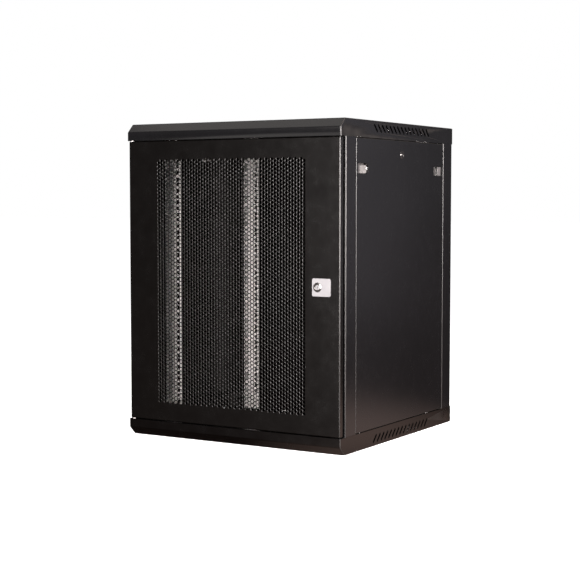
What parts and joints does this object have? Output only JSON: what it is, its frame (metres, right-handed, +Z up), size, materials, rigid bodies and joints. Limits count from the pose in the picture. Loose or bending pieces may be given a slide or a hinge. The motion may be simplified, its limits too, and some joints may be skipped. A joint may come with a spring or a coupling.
{
  "type": "wall-mounting network rack cabinet",
  "caption": "Black steel 19-inch network cabinet with a perforated lockable front door, two tilt-out side panels with slide latches, vented covers and sliding mounting rails.",
  "frame": {"origin": "middle of the footprint, on the underside of the bottom cover", "axes": "+Z up; -Y is the door side, +Y the wall side; +X is the lock side of the door"},
  "size_m": [0.6, 0.6, 0.769],
  "materials": {
    "black_powder_coat": "fine-textured semi-gloss powder coat",
    "zinc_plate": "bright zinc plating",
    "satin_metal": "satin nickel-chrome",
    "spring_steel": "oiled spring steel"
  },
  "bodies": {
    "frame": {"bottom_cover": "black_powder_coat", "top_cover": "black_powder_coat", "back_panel": "black_powder_coat", "bottom_cable_plate": "black_powder_coat", "top_cable_plate": "black_powder_coat", "bottom_plate_screw_a": "zinc_plate", "bottom_plate_screw_b": "zinc_plate", "top_plate_screw_a": "zinc_plate", "top_plate_screw_b": "zinc_plate", "front_right_post": "black_powder_coat", "front_left_post": "black_powder_coat", "rear_right_post": "black_powder_coat", "rear_left_post": "black_powder_coat", "lower_right_depth_bracket": "black_powder_coat", "lower_left_depth_bracket": "black_powder_coat", "upper_right_depth_bracket": "black_powder_coat", "upper_left_depth_bracket": "black_powder_coat", "upper_hinge_bracket": "black_powder_coat", "lower_hinge_bracket": "black_powder_coat"},
    "door": {"door_panel": "black_powder_coat", "door_lock_plate": "satin_metal", "door_lock_barrel": "satin_metal", "lower_hinge_pin": "zinc_plate", "upper_hinge_spring": "spring_steel"},
    "door_lock": {"door_lock_plug": "satin_metal", "door_lock_cam": "zinc_plate"},
    "hinge_pin": {"upper_hinge_pin": "zinc_plate"},
    "right_panel": {"right_side_panel": "black_powder_coat", "right_side_lock_barrel": "satin_metal", "right_front_latch_housing": "zinc_plate", "right_front_latch_spring": "spring_steel", "right_rear_latch_housing": "zinc_plate", "right_rear_latch_spring": "spring_steel"},
    "right_side_lock": {"right_side_lock_plug": "satin_metal", "right_side_lock_cam": "zinc_plate"},
    "right_front_latch": {"right_front_latch_slide": "zinc_plate"},
    "right_rear_latch": {"right_rear_latch_slide": "zinc_plate"},
    "front_right_rail_set": {"front_right_rail": "zinc_plate", "front_right_rail_lower_bolt": "zinc_plate", "front_right_rail_upper_bolt": "zinc_plate"},
    "rear_right_rail_set": {"rear_right_rail": "zinc_plate", "rear_right_rail_lower_bolt": "zinc_plate", "rear_right_rail_upper_bolt": "zinc_plate"},
    "left_panel": {"left_side_panel": "black_powder_coat", "left_side_lock_barrel": "satin_metal", "left_front_latch_housing": "zinc_plate", "left_front_latch_spring": "spring_steel", "left_rear_latch_housing": "zinc_plate", "left_rear_latch_spring": "spring_steel"},
    "left_side_lock": {"left_side_lock_plug": "satin_metal", "left_side_lock_cam": "zinc_plate"},
    "left_front_latch": {"left_front_latch_slide": "zinc_plate"},
    "left_rear_latch": {"left_rear_latch_slide": "zinc_plate"},
    "front_left_rail_set": {"front_left_rail": "zinc_plate", "front_left_rail_lower_bolt": "zinc_plate", "front_left_rail_upper_bolt": "zinc_plate"},
    "rear_left_rail_set": {"rear_left_rail": "zinc_plate", "rear_left_rail_lower_bolt": "zinc_plate", "rear_left_rail_upper_bolt": "zinc_plate"}
  },
  "joints": [
    {"name": "door_swing", "type": "hinge", "parent": "frame", "child": "door", "pos_m": [-0.291, -0.291, 0.3845], "axis": [0, 0, -1], "range_deg": [0, 180]},
    {"name": "door_lock_turn", "type": "hinge", "parent": "door", "child": "door_lock", "pos_m": [0.2385, -0.28, 0.3845], "axis": [0, 1, 0], "range_deg": [-90, 0]},
    {"name": "hinge_pin_pull", "type": "slide", "parent": "door", "child": "hinge_pin", "axis": [0, 0, 1], "range_m": [-0.009, 0], "deforming": ["upper_hinge_spring"]},
    {"name": "right_panel_tilt", "type": "hinge", "parent": "frame", "child": "right_panel", "pos_m": [0.299, 0, 0.042], "axis": [0, 1, 0], "range_deg": [0, 25]},
    {"name": "right_side_lock_turn", "type": "hinge", "parent": "right_panel", "child": "right_side_lock", "pos_m": [0.29, 0.009, 0.6925], "axis": [-1, 0, 0], "range_deg": [-90, 0]},
    {"name": "right_front_latch_slide", "type": "slide", "parent": "right_panel", "child": "right_front_latch", "axis": [0, 1, 0], "range_m": [-0.006, 0]},
    {"name": "right_rear_latch_slide", "type": "slide", "parent": "right_panel", "child": "right_rear_latch", "axis": [0, -1, 0], "range_m": [-0.006, 0]},
    {"name": "front_right_rail_adjust", "type": "slide", "parent": "frame", "child": "front_right_rail_set", "axis": [0, 1, 0], "range_m": [-0.03, 0.06]},
    {"name": "rear_right_rail_adjust", "type": "slide", "parent": "frame", "child": "rear_right_rail_set", "axis": [0, 1, 0], "range_m": [-0.06, 0.018]},
    {"name": "left_panel_tilt", "type": "hinge", "parent": "frame", "child": "left_panel", "pos_m": [-0.299, 0, 0.042], "axis": [0, -1, 0], "range_deg": [0, 25]},
    {"name": "left_side_lock_turn", "type": "hinge", "parent": "left_panel", "child": "left_side_lock", "pos_m": [-0.29, 0.009, 0.6925], "axis": [-1, 0, 0], "range_deg": [-90, 0]},
    {"name": "left_front_latch_slide", "type": "slide", "parent": "left_panel", "child": "left_front_latch", "axis": [0, 1, 0], "range_m": [-0.006, 0]},
    {"name": "left_rear_latch_slide", "type": "slide", "parent": "left_panel", "child": "left_rear_latch", "axis": [0, -1, 0], "range_m": [-0.006, 0]},
    {"name": "front_left_rail_adjust", "type": "slide", "parent": "frame", "child": "front_left_rail_set", "axis": [0, 1, 0], "range_m": [-0.03, 0.06]},
    {"name": "rear_left_rail_adjust", "type": "slide", "parent": "frame", "child": "rear_left_rail_set", "axis": [0, 1, 0], "range_m": [-0.06, 0.018]}
  ]
}
